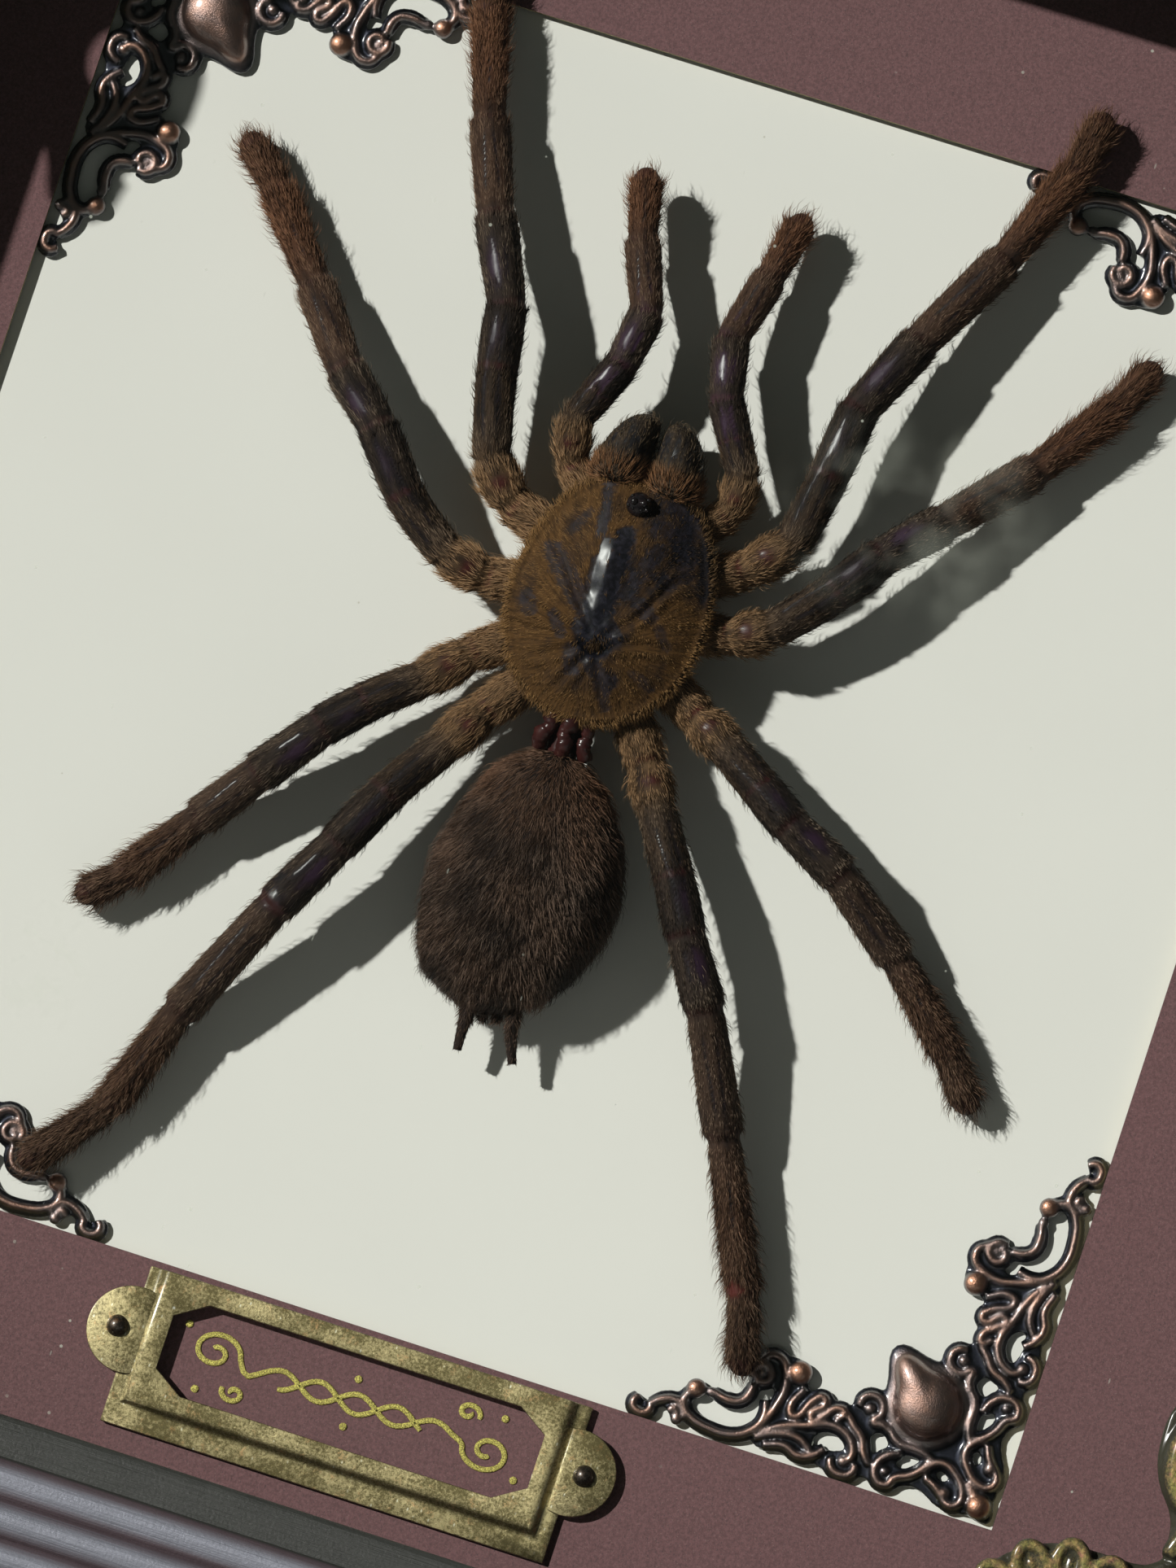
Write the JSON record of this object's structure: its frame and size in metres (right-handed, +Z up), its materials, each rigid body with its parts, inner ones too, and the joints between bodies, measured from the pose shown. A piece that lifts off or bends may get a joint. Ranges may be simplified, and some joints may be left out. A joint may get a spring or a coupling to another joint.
{
  "type": "framed tarantula specimen",
  "caption": "Hairy tarantula mounted on cream card behind glass in a deep square box frame with cast corner ornaments, filigree corners and a blank brass label holder.",
  "frame": {"origin": "middle of the frame's footprint, on the surface that the bottom rail stands on", "axes": "+Z up, -Y out of the glass towards the viewer, +X to the viewer's right"},
  "size_m": [0.206, 0.037, 0.206],
  "materials": {
    "frame_moulding": "reeded moulding, brushed with silvery mauve over dark brown",
    "glass": "clear picture glass with a little dust and haze",
    "mauve_card": "matt card with fine coloured fibres",
    "cream_card": "smooth matt card",
    "hardboard": "plain pressed board",
    "copper_stamping": "antiqued copper, dark blue-black in its hollows and rubbed bright on its ridges",
    "antique_brass": "cast, dark patina with green-gold ridges",
    "aged_brass": "pressed sheet, olive-gold patina with pits and bright rubbed edges",
    "dark_brad": "blackened round head",
    "golden_fur": "golden-brown down over dark glossy shell",
    "dark_fur": "dense dark brown fur",
    "jaw_fur": "dark brown down with orange-brown roots",
    "palp_fur": "brown down over purple-brown shell",
    "leg_fur": "brown down and long bristles over purple-brown shell"
  },
  "bodies": {
    "root": {"frame_rail_top": "frame_moulding", "frame_rail_left": "frame_moulding", "frame_rail_bottom": "frame_moulding", "frame_rail_right": "frame_moulding", "glass_pane": "glass", "window_mat": "mauve_card", "cream_card": "cream_card", "backing_board": "hardboard", "filigree_top_right": "copper_stamping", "filigree_top_left": "copper_stamping", "filigree_bottom_left": "copper_stamping", "filigree_bottom_right": "copper_stamping", "corner_ornament_top_right": "antique_brass", "corner_ornament_top_left": "antique_brass", "corner_ornament_bottom_left": "antique_brass", "corner_ornament_bottom_right": "antique_brass", "label_holder": "aged_brass", "label_brad_left": "dark_brad", "label_brad_right": "dark_brad", "front_body": "golden_fur", "abdomen": "dark_fur", "chelicera_left": "jaw_fur", "chelicera_right": "jaw_fur", "palp_left": "palp_fur", "palp_right": "palp_fur", "leg_left_1": "leg_fur", "leg_left_2": "leg_fur", "leg_left_3": "leg_fur", "leg_left_4": "leg_fur", "leg_right_1": "leg_fur", "leg_right_2": "leg_fur", "leg_right_3": "leg_fur", "leg_right_4": "leg_fur"}
  },
  "joints": []
}
